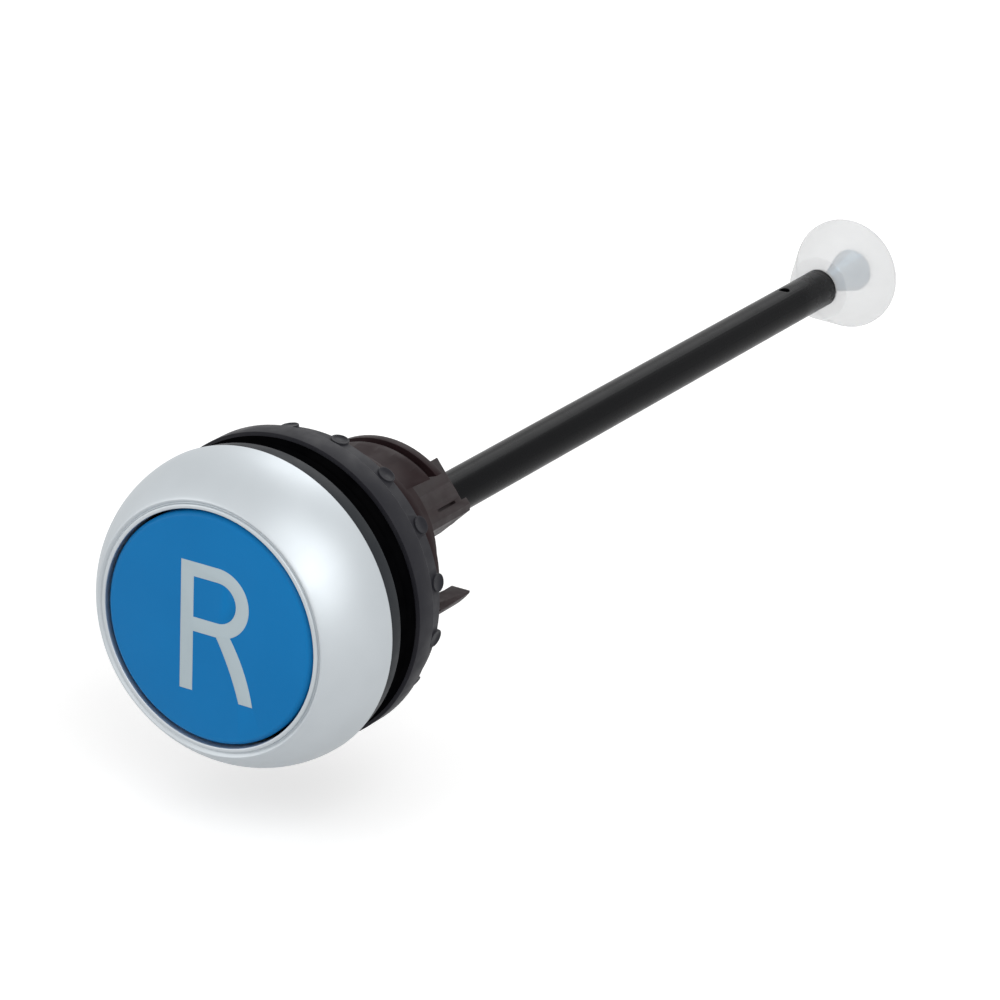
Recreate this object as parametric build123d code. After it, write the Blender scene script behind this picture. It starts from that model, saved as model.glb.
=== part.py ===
from build123d import *
from math import cos, radians, sin, sqrt
import os

# A flush reset pushbutton operator for a 22 mm panel hole, with a long push rod and a foot.
# Millimetres. The origin is on the button's axis, on the face of the seal that meets the panel.
# +Y points into the panel, from the button to the foot. +Z is the top of the letter, +X its right.

# Gaps shared by all pieces
FIT_GAP = 0.05          # radial gap between pieces that are pushed together
RUNNING_GAP = 0.08      # radial gap between pieces that slide or turn on each other
FACE_GAP = 0.05         # gap between two faces that meet at the end of a movement

# The moulded body: nose under the bezel, collar, and barrel through the panel
BARREL_RADIUS = 11.0
BARREL_WALL = 1.6
BARREL_LENGTH = 8.43
CLIP_GROOVE_FROM_END = 2.93
CLIP_GROOVE_WIDTH = 0.6
CLIP_GROOVE_DEPTH = 0.3
COLLAR_SETBACK = 0.35   # the collar's radius is this much under the bezel's
COLLAR_THICKNESS = 1.87
NOSE_WALL = 2.15
NOSE_BEVEL = 1.3
NOSE_FLOOR = 1.35
INNER_FLANGE_THICKNESS = 1.5
KEY_WIDTH = 3.0
KEY_HEIGHT = 1.0
KEY_LENGTH = 1.0

# The stroke, and the plate that the finger pushes
STROKE = 5.7
PLATE_SETBACK = 0.15    # the plate's radius is this much under the barrel's
PLATE_THICKNESS = 1.7
PLATE_BEVEL = 0.35
PLATE_LIFT = 0.33       # how far the plate's back stands in front of the nose
PLATE_CLEARANCE = 0.6
SPIGOT_WALL = 1.1
SPIGOT_LENGTH = 3.3
SPIGOT_SLOT = 1.6

# The letter that is moulded into the plate
LETTER_DEPTH = 0.4
LETTER_STROKE = 1.38
LETTER_LEFT = -2.95
LETTER_TOP = 6.05
LETTER_FOOT = -6.28
BOWL_RADIUS = 3.3
BOWL_CENTRE_X = 1.0
LEG_ROOT_RIGHT = 2.1
LEG_ROOT_WIDTH = 1.65
LEG_BEND = (3.45, -2.1)
LEG_BEND_WIDTH = 1.72
LEG_FOOT_RIGHT = 4.88
LEG_FOOT_WIDTH = 1.48

# The metal bezel
BEZEL_WALL = 1.2
BEZEL_DOME_RADIUS = 10.0
BEZEL_DOME_MID_ANGLE = 30.0
BEZEL_BORE_GAP = 0.27
BEZEL_LIP_WIDTH = 0.38
BEZEL_LIP_STAND = 0.05
BEZEL_GROOVE_WIDTH = 0.45
BEZEL_GROOVE_SLOPE = 0.1
BEZEL_GROOVE_DEPTH = 0.3

# The rubber seal between collar and panel
SEAL_THICKNESS = 2.8
SEAL_SETBACK = 0.15     # the seal's radius is this much under the collar's
SEAL_GROOVE_DEPTH = 0.3
SEAL_GROOVE_WIDTH = 0.5

# The wiper seal round the plunger, and the washer that holds it
WIPER_THICKNESS = 1.6
WIPER_LIP_THICKNESS = 0.5
WIPER_LIP_HEIGHT = 0.32
WASHER_THICKNESS = 0.5

# The plunger
HEAD_CLEARANCE = 0.2
HEAD_THICKNESS = 1.5
STEM_CLEARANCE = 0.3    # radial gap between the stem and the guide's bore
STEM_WALL = 2.3
SHOULDER_LAP = 0.3      # how far the stem's shoulder reaches into the inner flange
TAIL_FLAT_DEPTH = 0.6
TAIL_WALL = 1.5
TAIL_STAND = 4.6        # how far the tail stands out of the guide's floor
PLUNGER_WEB = 3.0

# The return spring
SPRING_WIRE_RADIUS = 0.3
SPRING_SEAT_MARGIN = 0.1
SPRING_TURNS = 3.5

# The guide in the barrel's rear end, with two arms and two windows
GUIDE_SPIGOT_LENGTH = 5.4
GUIDE_FLANGE_SETBACK = 0.2
GUIDE_FLANGE_THICKNESS = 0.97
GUIDE_FLOOR_OFFSET = 0.2
GUIDE_FLOOR_THICKNESS = 1.8
GUIDE_NECK_SETBACK = 0.56
GUIDE_NECK_LENGTH = 3.75
GUIDE_WALL = 1.24
GUIDE_CONE_LENGTH = 2.13
GUIDE_CONE_RISE = 0.36
GUIDE_GROOVE_DEPTH = 0.8
GUIDE_GROOVE_WIDTH = 0.87
GUIDE_RIM_HEIGHT = 0.9
GUIDE_RIM_THICKNESS = 0.9
LATCH_LENGTH = 3.75     # how far the lower arm reaches behind the upper arm
LATCH_TAPER = 0.2       # how much thinner the lower arm is at its end
LATCH_TAPER_LENGTH = 0.5
WINDOW_ANGLE = 20.0     # the upper arm's edges are turned by this much, the lower arm's are level
WINDOW_HIGH_EDGE = 4.7  # from the turned middle plane to the windows' upper edge
WINDOW_LOW_EDGE = 5.5   # from the button's axis down to the windows' lower edge
WINDOW_SLANT = 1.45     # how much farther back the front edge lies at the upper edge

# The snap ring that locks the guide in the barrel
SNAP_RING_FROM_END = 2.43
SNAP_RING_THICKNESS = 0.9
SNAP_RING_GRIP = 0.45
SNAP_RING_SEAT = 0.75
SNAP_RING_OPENING = 6.0

# The ring nut behind the panel
NUT_CROWN_WALL = 2.85   # the crown is the narrower rear part that carries the lobes
NUT_CROWN_LENGTH = 2.1
NUT_RIM_WIDTH = 0.8
NUT_RIM_THICKNESS = 2.45
NUT_EDGE_BEVEL = 0.2
NUT_RELIEF_GAP = 0.4
LOBE_COUNT = 16
LOBE_ANGLE = -11.9
LOBE_RADIUS = 0.85
LOBE_STAND = 0.15       # how far the lobes stand out of the crown's round face
LOBE_INSET = 0.2        # from the crown's rear to the middle of a lobe
LOBE_LENGTH = 1.5

# The push rod, a tube with cross holes
ROD_RADIUS = 2.1
ROD_WALL = 0.45
ROD_LENGTH = 93.2
ROD_INSET = 3.9         # how deep the rod sits in the plunger's tail
CROSS_HOLE_RADIUS = 0.6
CROSS_HOLE_FROM_END = 8.7
CROSS_HOLE_ANGLE = 91.0 # from +X towards +Z

# The clutch that holds the rod in the plunger's tail
CLUTCH_ANGLE = 135.0    # of the block's high side, from +X towards +Z
CLUTCH_SPIGOT_LENGTH = 7.0
CLUTCH_SPIGOT_WALL = 0.9
CLUTCH_FLANGE_SETBACK = 0.1
CLUTCH_FLANGE_THICKNESS = 1.15
CLUTCH_HUB_WALL = 0.5
CLUTCH_HUB_LENGTH = 9.05
BLOCK_HIGH_STAND = 0.75 # how far the block's high side stands out of the round hub
BLOCK_LOW_SETBACK = 0.1 # how far the hub bulges out of the low side
BLOCK_SIDE_SETBACK = 0.15
BLOCK_CUT = 0.5
BLOCK_END_SETBACK = 0.15 # how far the block's slanted end lies before the ear's end, at its high side
LOW_EAR_THICKNESS = 1.2
EAR_LENGTH = 0.8
CLUTCH_SLOT_WIDTH = 0.28
CLUTCH_SLOT_LENGTH = 3.0
CLUTCH_SLOT_DEPTH = 0.5
CLUTCH_SLOT_FROM_REAR = 1.0
CLUTCH_PIN_RADIUS = 0.75
CLUTCH_PIN_INSET = 2.0  # how deep the pin lies in the plunger's tail
PIN_END_GAP = 0.1

# The foot and its zinc plated stud
FOOT_LAP = 0.4          # how far the foot's neck reaches over the rod's end
FOOT_NECK_WALL = 1.4
FOOT_FLARE = 2.6
FOOT_CONE_LENGTH = 6.5
FOOT_RIM_BAND = 0.35
FOOT_NOSE_LENGTH = 2.05
FOOT_FACE_SETBACK = 1.95
STUD_NECK_SETBACK = 0.4
STUD_NECK_LENGTH = 3.3
STUD_HEAD_LENGTH = 4.4
STUD_HEAD_FLARE = 1.15
STUD_SHANK_LENGTH = 13.0

# Places along the axis that follow from the sizes above
COLLAR_REAR_Y = -SEAL_THICKNESS
COLLAR_FRONT_Y = COLLAR_REAR_Y - COLLAR_THICKNESS
NOSE_FLOOR_Y = COLLAR_REAR_Y - NOSE_FLOOR
PLATE_REAR_Y = NOSE_FLOOR_Y - FACE_GAP - STROKE
PLATE_FACE_Y = PLATE_REAR_Y - PLATE_THICKNESS
NOSE_FRONT_Y = PLATE_REAR_Y + PLATE_LIFT
BEZEL_LIP_Y = PLATE_FACE_Y - BEZEL_LIP_STAND
SPIGOT_END_Y = PLATE_REAR_Y + SPIGOT_LENGTH
HEAD_REAR_Y = PLATE_REAR_Y + HEAD_THICKNESS
WASHER_FRONT_Y = HEAD_REAR_Y + STROKE + 2 * FACE_GAP
WIPER_FRONT_Y = WASHER_FRONT_Y + WASHER_THICKNESS
INNER_FLANGE_FRONT = WIPER_FRONT_Y + WIPER_THICKNESS
INNER_FLANGE_REAR = INNER_FLANGE_FRONT + INNER_FLANGE_THICKNESS
SHOULDER_Y = INNER_FLANGE_FRONT + SHOULDER_LAP
GUIDE_FLANGE_REAR = BARREL_LENGTH + GUIDE_FLANGE_THICKNESS
GUIDE_FLOOR_Y = GUIDE_FLANGE_REAR + GUIDE_FLOOR_OFFSET
GUIDE_FLOOR_REAR = GUIDE_FLOOR_Y + GUIDE_FLOOR_THICKNESS
SPRING_SEAT_Y = GUIDE_FLOOR_Y - WASHER_THICKNESS
GUIDE_NECK_END_Y = GUIDE_FLANGE_REAR + GUIDE_NECK_LENGTH
GUIDE_RIDGE_Y = GUIDE_NECK_END_Y + GUIDE_CONE_LENGTH
GUIDE_GROOVE_REAR = GUIDE_RIDGE_Y + GUIDE_GROOVE_WIDTH
GUIDE_RIM_REAR = GUIDE_GROOVE_REAR + GUIDE_RIM_THICKNESS
GUIDE_REAR_Y = GUIDE_RIM_REAR + LATCH_LENGTH
SNAP_RING_Y = BARREL_LENGTH - SNAP_RING_FROM_END
TAIL_END_Y = GUIDE_FLOOR_REAR + TAIL_STAND
CLUTCH_FLANGE_REAR = TAIL_END_Y + CLUTCH_FLANGE_THICKNESS
CLUTCH_HUB_REAR = CLUTCH_FLANGE_REAR + CLUTCH_HUB_LENGTH
CLUTCH_REAR_Y = CLUTCH_HUB_REAR + EAR_LENGTH
CLUTCH_PIN_Y = TAIL_END_Y - CLUTCH_PIN_INSET
NUT_FRONT_Y = FACE_GAP
NUT_RIM_REAR = NUT_FRONT_Y + NUT_RIM_THICKNESS
NUT_CROWN_REAR = NUT_RIM_REAR + NUT_CROWN_LENGTH
ROD_START_Y = TAIL_END_Y - ROD_INSET
ROD_END_Y = ROD_START_Y + ROD_LENGTH
CROSS_HOLE_Y = ROD_END_Y - CROSS_HOLE_FROM_END
STUD_HEAD_START_Y = ROD_END_Y + STUD_NECK_LENGTH
STUD_HEAD_END_Y = STUD_HEAD_START_Y + STUD_HEAD_LENGTH
FOOT_NECK_Y = ROD_END_Y - FOOT_LAP
FOOT_RIM_Y = FOOT_NECK_Y + FOOT_CONE_LENGTH
FOOT_NOSE_Y = FOOT_RIM_Y + FOOT_RIM_BAND
FOOT_FACE_Y = FOOT_NOSE_Y + FOOT_NOSE_LENGTH

# Radii that follow from the sizes above
BARREL_BORE = BARREL_RADIUS - BARREL_WALL
KEY_RADIUS = BARREL_RADIUS + KEY_HEIGHT
PLATE_RADIUS = BARREL_RADIUS - PLATE_SETBACK
NOSE_BORE = PLATE_RADIUS + PLATE_CLEARANCE
NOSE_RADIUS = NOSE_BORE + NOSE_WALL
BEZEL_SOCKET = NOSE_RADIUS + FIT_GAP
BEZEL_RADIUS = BEZEL_SOCKET + BEZEL_WALL
BEZEL_BORE = PLATE_RADIUS + BEZEL_BORE_GAP
BEZEL_LIP_RADIUS = BEZEL_BORE + BEZEL_LIP_WIDTH
COLLAR_RADIUS = BEZEL_RADIUS - COLLAR_SETBACK
SEAL_RADIUS = COLLAR_RADIUS - SEAL_SETBACK
GUIDE_SPIGOT_RADIUS = BARREL_BORE - FIT_GAP
GUIDE_FLANGE_RADIUS = BARREL_RADIUS - GUIDE_FLANGE_SETBACK
GUIDE_NECK_RADIUS = BARREL_BORE - GUIDE_NECK_SETBACK
GUIDE_BORE = GUIDE_NECK_RADIUS - GUIDE_WALL
GUIDE_RIDGE_RADIUS = GUIDE_NECK_RADIUS + GUIDE_CONE_RISE
GUIDE_GROOVE_RADIUS = GUIDE_RIDGE_RADIUS - GUIDE_GROOVE_DEPTH
GUIDE_RIM_RADIUS = GUIDE_GROOVE_RADIUS + GUIDE_RIM_HEIGHT
HEAD_RADIUS = BARREL_BORE - HEAD_CLEARANCE
STEM_RADIUS = GUIDE_BORE - STEM_CLEARANCE
INNER_FLANGE_BORE = STEM_RADIUS + RUNNING_GAP
SPIGOT_SOCKET = STEM_RADIUS - STEM_WALL
SPIGOT_RADIUS = SPIGOT_SOCKET - FIT_GAP
ROD_BORE = ROD_RADIUS - ROD_WALL
CLUTCH_BORE = ROD_RADIUS + FIT_GAP
CLUTCH_SPIGOT_RADIUS = CLUTCH_BORE + CLUTCH_SPIGOT_WALL
TAIL_BORE = CLUTCH_SPIGOT_RADIUS + FIT_GAP
TAIL_RADIUS = TAIL_BORE + TAIL_WALL
TAIL_FLAT = TAIL_RADIUS - TAIL_FLAT_DEPTH
SPRING_RADIUS = (TAIL_RADIUS + STEM_RADIUS) / 2
SNAP_RING_OUTER = BARREL_BORE + SNAP_RING_GRIP
SNAP_RING_INNER = BARREL_BORE - SNAP_RING_SEAT
NUT_BORE = BARREL_RADIUS + RUNNING_GAP
NUT_CROWN_RADIUS = BARREL_RADIUS + NUT_CROWN_WALL
NUT_RADIUS = NUT_CROWN_RADIUS + NUT_RIM_WIDTH
LOBE_OUTER = NUT_CROWN_RADIUS + LOBE_STAND
LOBE_INNER = LOBE_OUTER - LOBE_LENGTH
CLUTCH_FLANGE_RADIUS = TAIL_RADIUS - CLUTCH_FLANGE_SETBACK
CLUTCH_HUB_RADIUS = ROD_RADIUS + CLUTCH_HUB_WALL
BLOCK_HIGH = CLUTCH_HUB_RADIUS + BLOCK_HIGH_STAND
BLOCK_LOW = CLUTCH_HUB_RADIUS - BLOCK_LOW_SETBACK
BLOCK_SIDE = CLUTCH_HUB_RADIUS - BLOCK_SIDE_SETBACK
STUD_NECK_RADIUS = ROD_BORE - STUD_NECK_SETBACK
STUD_HEAD_RADIUS = STUD_NECK_RADIUS + STUD_HEAD_FLARE
FOOT_SOCKET = ROD_RADIUS + FIT_GAP
FOOT_NECK_RADIUS = FOOT_SOCKET + FOOT_NECK_WALL
FOOT_RIM_RADIUS = FOOT_NECK_RADIUS + FOOT_FLARE
FOOT_FACE_RADIUS = FOOT_RIM_RADIUS - FOOT_FACE_SETBACK


def turned(*points):
    """A body of revolution about the button's axis, from (radius, y) corners."""
    return revolve(make_face(Polyline(*points, close=True)), Axis.Y)


def ring(outer, inner, front, rear):
    return turned((inner, front), (outer, front), (outer, rear), (inner, rear))


def disc(radius, front, rear):
    return turned((0, front), (radius, front), (radius, rear), (0, rear))


def across(angle, y):
    """A plane across the axis at y, whose own X runs along the angle from +X towards +Z."""
    along = (cos(radians(angle)), 0, sin(radians(angle)))
    return Plane(origin=(0, y, 0), x_dir=along, z_dir=(0, -1, 0))


def block(angle, low, high, near, far, front, rear):
    """A box across the axis: low to high along the angle, near to far square to it."""
    centre = ((low + high) / 2, (near + far) / 2, -(front + rear) / 2)
    return across(angle, 0) * Pos(*centre) * Box(high - low, far - near, rear - front)


def cross_pin(angle, y, radius, half_length):
    """A pin square to the axis, lying along the angle."""
    along = Plane(origin=(0, y, 0), z_dir=(cos(radians(angle)), 0, sin(radians(angle))))
    return along * Cylinder(radius, 2 * half_length)


def letter_outline():
    """A plain capital R, standing on the plate's face plane, seen from the front."""
    stem_right = LETTER_LEFT + LETTER_STROKE
    bowl_low = LETTER_TOP - 2 * BOWL_RADIUS
    bowl_mid = LETTER_TOP - BOWL_RADIUS
    hole_radius = BOWL_RADIUS - LETTER_STROKE
    stem = Pos((LETTER_LEFT + stem_right) / 2, (LETTER_TOP + LETTER_FOOT) / 2) * Rectangle(
        LETTER_STROKE, LETTER_TOP - LETTER_FOOT)
    bowl_bar = Pos((LETTER_LEFT + BOWL_CENTRE_X) / 2, bowl_mid) * Rectangle(
        BOWL_CENTRE_X - LETTER_LEFT, 2 * BOWL_RADIUS)
    hole_bar = Pos((stem_right + BOWL_CENTRE_X) / 2, bowl_mid) * Rectangle(
        BOWL_CENTRE_X - stem_right, 2 * hole_radius)
    bowl = bowl_bar + Pos(BOWL_CENTRE_X, bowl_mid) * Circle(BOWL_RADIUS)
    hole = hole_bar + Pos(BOWL_CENTRE_X, bowl_mid) * Circle(hole_radius)
    root_right = (LEG_ROOT_RIGHT, bowl_low + LETTER_STROKE / 2)
    root_left = (LEG_ROOT_RIGHT - LEG_ROOT_WIDTH, root_right[1])
    foot_right = (LEG_FOOT_RIGHT, LETTER_FOOT)
    foot_left = (LEG_FOOT_RIGHT - LEG_FOOT_WIDTH, LETTER_FOOT)
    bend_left = (LEG_BEND[0] - LEG_BEND_WIDTH, LEG_BEND[1])
    right_edge = ThreePointArc(root_right, LEG_BEND, foot_right)
    left_edge = ThreePointArc(foot_left, bend_left, root_left)
    leg = make_face(right_edge + Line(foot_right, foot_left) + left_edge + Line(root_left, root_right))
    return stem + (bowl - hole) + leg


def reset_letter():
    face = Plane(origin=(0, PLATE_FACE_Y, 0), x_dir=(1, 0, 0), z_dir=(0, -1, 0))
    return extrude(face * letter_outline(), -LETTER_DEPTH)


def button_plate():
    face_edge = PLATE_RADIUS - PLATE_BEVEL
    plate = turned((0, PLATE_FACE_Y), (face_edge, PLATE_FACE_Y), (PLATE_RADIUS, PLATE_FACE_Y + PLATE_BEVEL),
                   (PLATE_RADIUS, PLATE_REAR_Y), (0, PLATE_REAR_Y))
    legs = ring(SPIGOT_RADIUS, SPIGOT_RADIUS - SPIGOT_WALL, PLATE_REAR_Y, SPIGOT_END_Y)
    for angle in (0, 90):
        legs -= block(angle, -SPIGOT_RADIUS, SPIGOT_RADIUS, -SPIGOT_SLOT / 2, SPIGOT_SLOT / 2,
                      PLATE_REAR_Y, SPIGOT_END_Y)
    return plate + legs - reset_letter()


def front_bezel():
    dome_x = BEZEL_RADIUS - BEZEL_DOME_RADIUS
    groove_edge = BEZEL_LIP_RADIUS + BEZEL_GROOVE_WIDTH
    dome_start = COLLAR_FRONT_Y - sqrt(BEZEL_DOME_RADIUS ** 2 - (groove_edge - dome_x) ** 2)
    turn = radians(BEZEL_DOME_MID_ANGLE)
    dome_mid = (dome_x + BEZEL_DOME_RADIUS * cos(turn), COLLAR_FRONT_Y - BEZEL_DOME_RADIUS * sin(turn))
    groove_bottom = BEZEL_LIP_Y + BEZEL_GROOVE_DEPTH
    dome = ThreePointArc((groove_edge, dome_start), dome_mid, (BEZEL_RADIUS, COLLAR_FRONT_Y))
    inside = Polyline((BEZEL_RADIUS, COLLAR_FRONT_Y), (BEZEL_SOCKET, COLLAR_FRONT_Y),
                      (BEZEL_SOCKET, NOSE_FRONT_Y + NOSE_BEVEL), (BEZEL_SOCKET - NOSE_BEVEL, NOSE_FRONT_Y),
                      (BEZEL_BORE, NOSE_FRONT_Y), (BEZEL_BORE, BEZEL_LIP_Y),
                      (BEZEL_LIP_RADIUS, BEZEL_LIP_Y),
                      (BEZEL_LIP_RADIUS + BEZEL_GROOVE_SLOPE, groove_bottom), (groove_edge, dome_start))
    return revolve(make_face(dome + inside), Axis.Y)


def barrel_key(gap=0.0):
    half_width = KEY_WIDTH / 2 + gap
    root = BARREL_BORE + BARREL_WALL / 2
    return block(90, root, KEY_RADIUS + gap, -half_width, half_width, COLLAR_REAR_Y, KEY_LENGTH)


def snap_ring_groove(outer, inner):
    half = SNAP_RING_THICKNESS / 2 + FIT_GAP
    return ring(outer, inner, SNAP_RING_Y - half, SNAP_RING_Y + half)


def operator_body():
    shell = turned((NOSE_BORE, NOSE_FRONT_Y), (NOSE_RADIUS - NOSE_BEVEL, NOSE_FRONT_Y),
                   (NOSE_RADIUS, NOSE_FRONT_Y + NOSE_BEVEL), (NOSE_RADIUS, COLLAR_FRONT_Y),
                   (COLLAR_RADIUS, COLLAR_FRONT_Y), (COLLAR_RADIUS, COLLAR_REAR_Y),
                   (BARREL_RADIUS, COLLAR_REAR_Y), (BARREL_RADIUS, BARREL_LENGTH),
                   (BARREL_BORE, BARREL_LENGTH), (BARREL_BORE, INNER_FLANGE_REAR),
                   (INNER_FLANGE_BORE, INNER_FLANGE_REAR), (INNER_FLANGE_BORE, INNER_FLANGE_FRONT),
                   (BARREL_BORE, INNER_FLANGE_FRONT), (BARREL_BORE, NOSE_FLOOR_Y),
                   (NOSE_BORE, NOSE_FLOOR_Y))
    clip_rear = BARREL_LENGTH - CLIP_GROOVE_FROM_END
    clip_groove = ring(2 * BARREL_RADIUS, BARREL_RADIUS - CLIP_GROOVE_DEPTH,
                       clip_rear - CLIP_GROOVE_WIDTH, clip_rear)
    return shell + barrel_key() - snap_ring_groove(SNAP_RING_OUTER + FIT_GAP, SNAP_RING_INNER) - clip_groove


def panel_seal():
    bore = BARREL_RADIUS + FIT_GAP
    middle = -SEAL_THICKNESS / 2
    half = SEAL_GROOVE_WIDTH / 2
    seal = turned((bore, -SEAL_THICKNESS), (SEAL_RADIUS, -SEAL_THICKNESS), (SEAL_RADIUS, middle - half),
                  (SEAL_RADIUS - SEAL_GROOVE_DEPTH, middle), (SEAL_RADIUS, middle + half),
                  (SEAL_RADIUS, 0), (bore, 0))
    return seal - barrel_key(FIT_GAP)


def wiper_seal():
    """A rubber ring with a thin lip at its front that wipes the plunger's stem."""
    outer = BARREL_BORE - FIT_GAP
    lip_rear = WIPER_FRONT_Y + WIPER_LIP_THICKNESS
    lip_bore = STEM_RADIUS + RUNNING_GAP
    ring_bore = lip_bore + WIPER_LIP_HEIGHT
    return turned((lip_bore, WIPER_FRONT_Y), (outer, WIPER_FRONT_Y), (outer, INNER_FLANGE_FRONT),
                  (ring_bore, INNER_FLANGE_FRONT), (ring_bore, lip_rear), (lip_bore, lip_rear))


def seal_washer():
    return ring(BARREL_BORE - FIT_GAP, INNER_FLANGE_BORE + FIT_GAP, WASHER_FRONT_Y, WIPER_FRONT_Y)


def flat_tail(radius, flat, front, rear):
    """A round bar with two flats, the form of the plunger's tail and of the hole that guides it."""
    return disc(radius, front, rear) & block(WINDOW_ANGLE, -flat, flat, -radius, radius, front, rear)


def plunger():
    socket_floor = SHOULDER_Y - PLUNGER_WEB / 2
    bore_floor = SHOULDER_Y + PLUNGER_WEB / 2
    solid = disc(HEAD_RADIUS, PLATE_REAR_Y, HEAD_REAR_Y) + disc(STEM_RADIUS, HEAD_REAR_Y, SHOULDER_Y)
    solid += flat_tail(TAIL_RADIUS, TAIL_FLAT, SHOULDER_Y, TAIL_END_Y)
    return (solid - disc(SPIGOT_SOCKET, PLATE_REAR_Y, socket_floor)
            - disc(TAIL_BORE, bore_floor, TAIL_END_Y))


def return_spring():
    start = SHOULDER_Y + SPRING_WIRE_RADIUS + FACE_GAP
    end = SPRING_SEAT_Y - SPRING_WIRE_RADIUS - FACE_GAP
    coil = Helix((end - start) / SPRING_TURNS, end - start, SPRING_RADIUS, center=(0, start, 0),
                 direction=(0, 1, 0))
    section = Plane(origin=coil @ 0, z_dir=coil % 0) * Circle(SPRING_WIRE_RADIUS)
    return sweep(section, coil, is_frenet=True)


def spring_washer():
    half_width = SPRING_WIRE_RADIUS + SPRING_SEAT_MARGIN
    return ring(SPRING_RADIUS + half_width, SPRING_RADIUS - half_width, SPRING_SEAT_Y, GUIDE_FLOOR_Y)


def window_cutter():
    """The two windows between the guide's arms. Their front edge is slanted."""
    side = Plane(origin=(0, 0, 0), x_dir=(-sin(radians(WINDOW_ANGLE)), 0, cos(radians(WINDOW_ANGLE))),
                 z_dir=(cos(radians(WINDOW_ANGLE)), 0, sin(radians(WINDOW_ANGLE))))
    turn = 1 if side.y_dir.Y > 0 else -1
    outline = make_face(Polyline((-GUIDE_RIM_RADIUS, turn * GUIDE_FLOOR_REAR),
                                 (WINDOW_HIGH_EDGE, turn * (GUIDE_FLOOR_REAR + WINDOW_SLANT)),
                                 (WINDOW_HIGH_EDGE, turn * GUIDE_REAR_Y),
                                 (-GUIDE_RIM_RADIUS, turn * GUIDE_REAR_Y), close=True))
    over_lower_arm = block(90, -WINDOW_LOW_EDGE, 2 * GUIDE_RIM_RADIUS, -2 * GUIDE_RIM_RADIUS,
                           2 * GUIDE_RIM_RADIUS, GUIDE_FLOOR_REAR, GUIDE_REAR_Y)
    return extrude(side * outline, 2 * GUIDE_RIM_RADIUS, both=True) & over_lower_arm


def lower_latch():
    """The lower arm's end: it has no groove and reaches farther back than the upper arm."""
    end = turned((GUIDE_BORE, GUIDE_RIDGE_Y), (GUIDE_RIM_RADIUS, GUIDE_RIDGE_Y),
                 (GUIDE_RIM_RADIUS, GUIDE_REAR_Y - LATCH_TAPER_LENGTH),
                 (GUIDE_RIM_RADIUS - LATCH_TAPER, GUIDE_REAR_Y), (GUIDE_BORE, GUIDE_REAR_Y))
    return end & block(-90, WINDOW_LOW_EDGE, GUIDE_RIM_RADIUS, -GUIDE_RIM_RADIUS, GUIDE_RIM_RADIUS,
                       GUIDE_RIDGE_Y, GUIDE_REAR_Y)


def plunger_guide():
    front = BARREL_LENGTH - GUIDE_SPIGOT_LENGTH
    shell = turned((GUIDE_BORE, front), (GUIDE_SPIGOT_RADIUS, front),
                   (GUIDE_SPIGOT_RADIUS, BARREL_LENGTH), (GUIDE_FLANGE_RADIUS, BARREL_LENGTH),
                   (GUIDE_FLANGE_RADIUS, GUIDE_FLANGE_REAR), (GUIDE_NECK_RADIUS, GUIDE_FLANGE_REAR),
                   (GUIDE_NECK_RADIUS, GUIDE_NECK_END_Y), (GUIDE_RIDGE_RADIUS, GUIDE_RIDGE_Y),
                   (GUIDE_GROOVE_RADIUS, GUIDE_RIDGE_Y), (GUIDE_GROOVE_RADIUS, GUIDE_GROOVE_REAR),
                   (GUIDE_RIM_RADIUS, GUIDE_GROOVE_REAR), (GUIDE_RIM_RADIUS, GUIDE_RIM_REAR),
                   (GUIDE_BORE, GUIDE_RIM_REAR), (GUIDE_BORE, GUIDE_FLOOR_REAR), (0, GUIDE_FLOOR_REAR),
                   (0, GUIDE_FLOOR_Y), (GUIDE_BORE, GUIDE_FLOOR_Y))
    hole = flat_tail(TAIL_RADIUS + RUNNING_GAP, TAIL_FLAT + RUNNING_GAP, GUIDE_FLOOR_Y, GUIDE_FLOOR_REAR)
    groove = snap_ring_groove(SNAP_RING_OUTER, SNAP_RING_INNER - FIT_GAP)
    return shell + lower_latch() - hole - groove - window_cutter()


def guide_snap_ring():
    front = SNAP_RING_Y - SNAP_RING_THICKNESS / 2
    rear = SNAP_RING_Y + SNAP_RING_THICKNESS / 2
    opening = block(-90, 0, SNAP_RING_OUTER, -SNAP_RING_OPENING / 2, SNAP_RING_OPENING / 2, front, rear)
    return ring(SNAP_RING_OUTER, SNAP_RING_INNER, front, rear) - opening


def nut_lobe(angle):
    """One round lobe on the crown's rear edge, for a ring spanner."""
    outward = (cos(radians(angle)), 0, sin(radians(angle)))
    middle = (LOBE_OUTER + LOBE_INNER) / 2
    stand = Plane(origin=(middle * outward[0], NUT_CROWN_REAR - LOBE_INSET, middle * outward[2]),
                  z_dir=outward)
    return stand * Cylinder(LOBE_RADIUS, LOBE_LENGTH)


def ring_nut():
    relief = KEY_RADIUS + NUT_RELIEF_GAP
    relief_end = KEY_LENGTH + NUT_RELIEF_GAP
    nut = turned((relief, NUT_FRONT_Y), (NUT_RADIUS, NUT_FRONT_Y),
                 (NUT_RADIUS, NUT_RIM_REAR - NUT_EDGE_BEVEL), (NUT_RADIUS - NUT_EDGE_BEVEL, NUT_RIM_REAR),
                 (NUT_CROWN_RADIUS, NUT_RIM_REAR), (NUT_CROWN_RADIUS, NUT_CROWN_REAR),
                 (NUT_BORE, NUT_CROWN_REAR), (NUT_BORE, relief_end), (relief, relief_end))
    for number in range(LOBE_COUNT):
        nut += nut_lobe(LOBE_ANGLE + number * 360 / LOBE_COUNT)
    return nut


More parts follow.
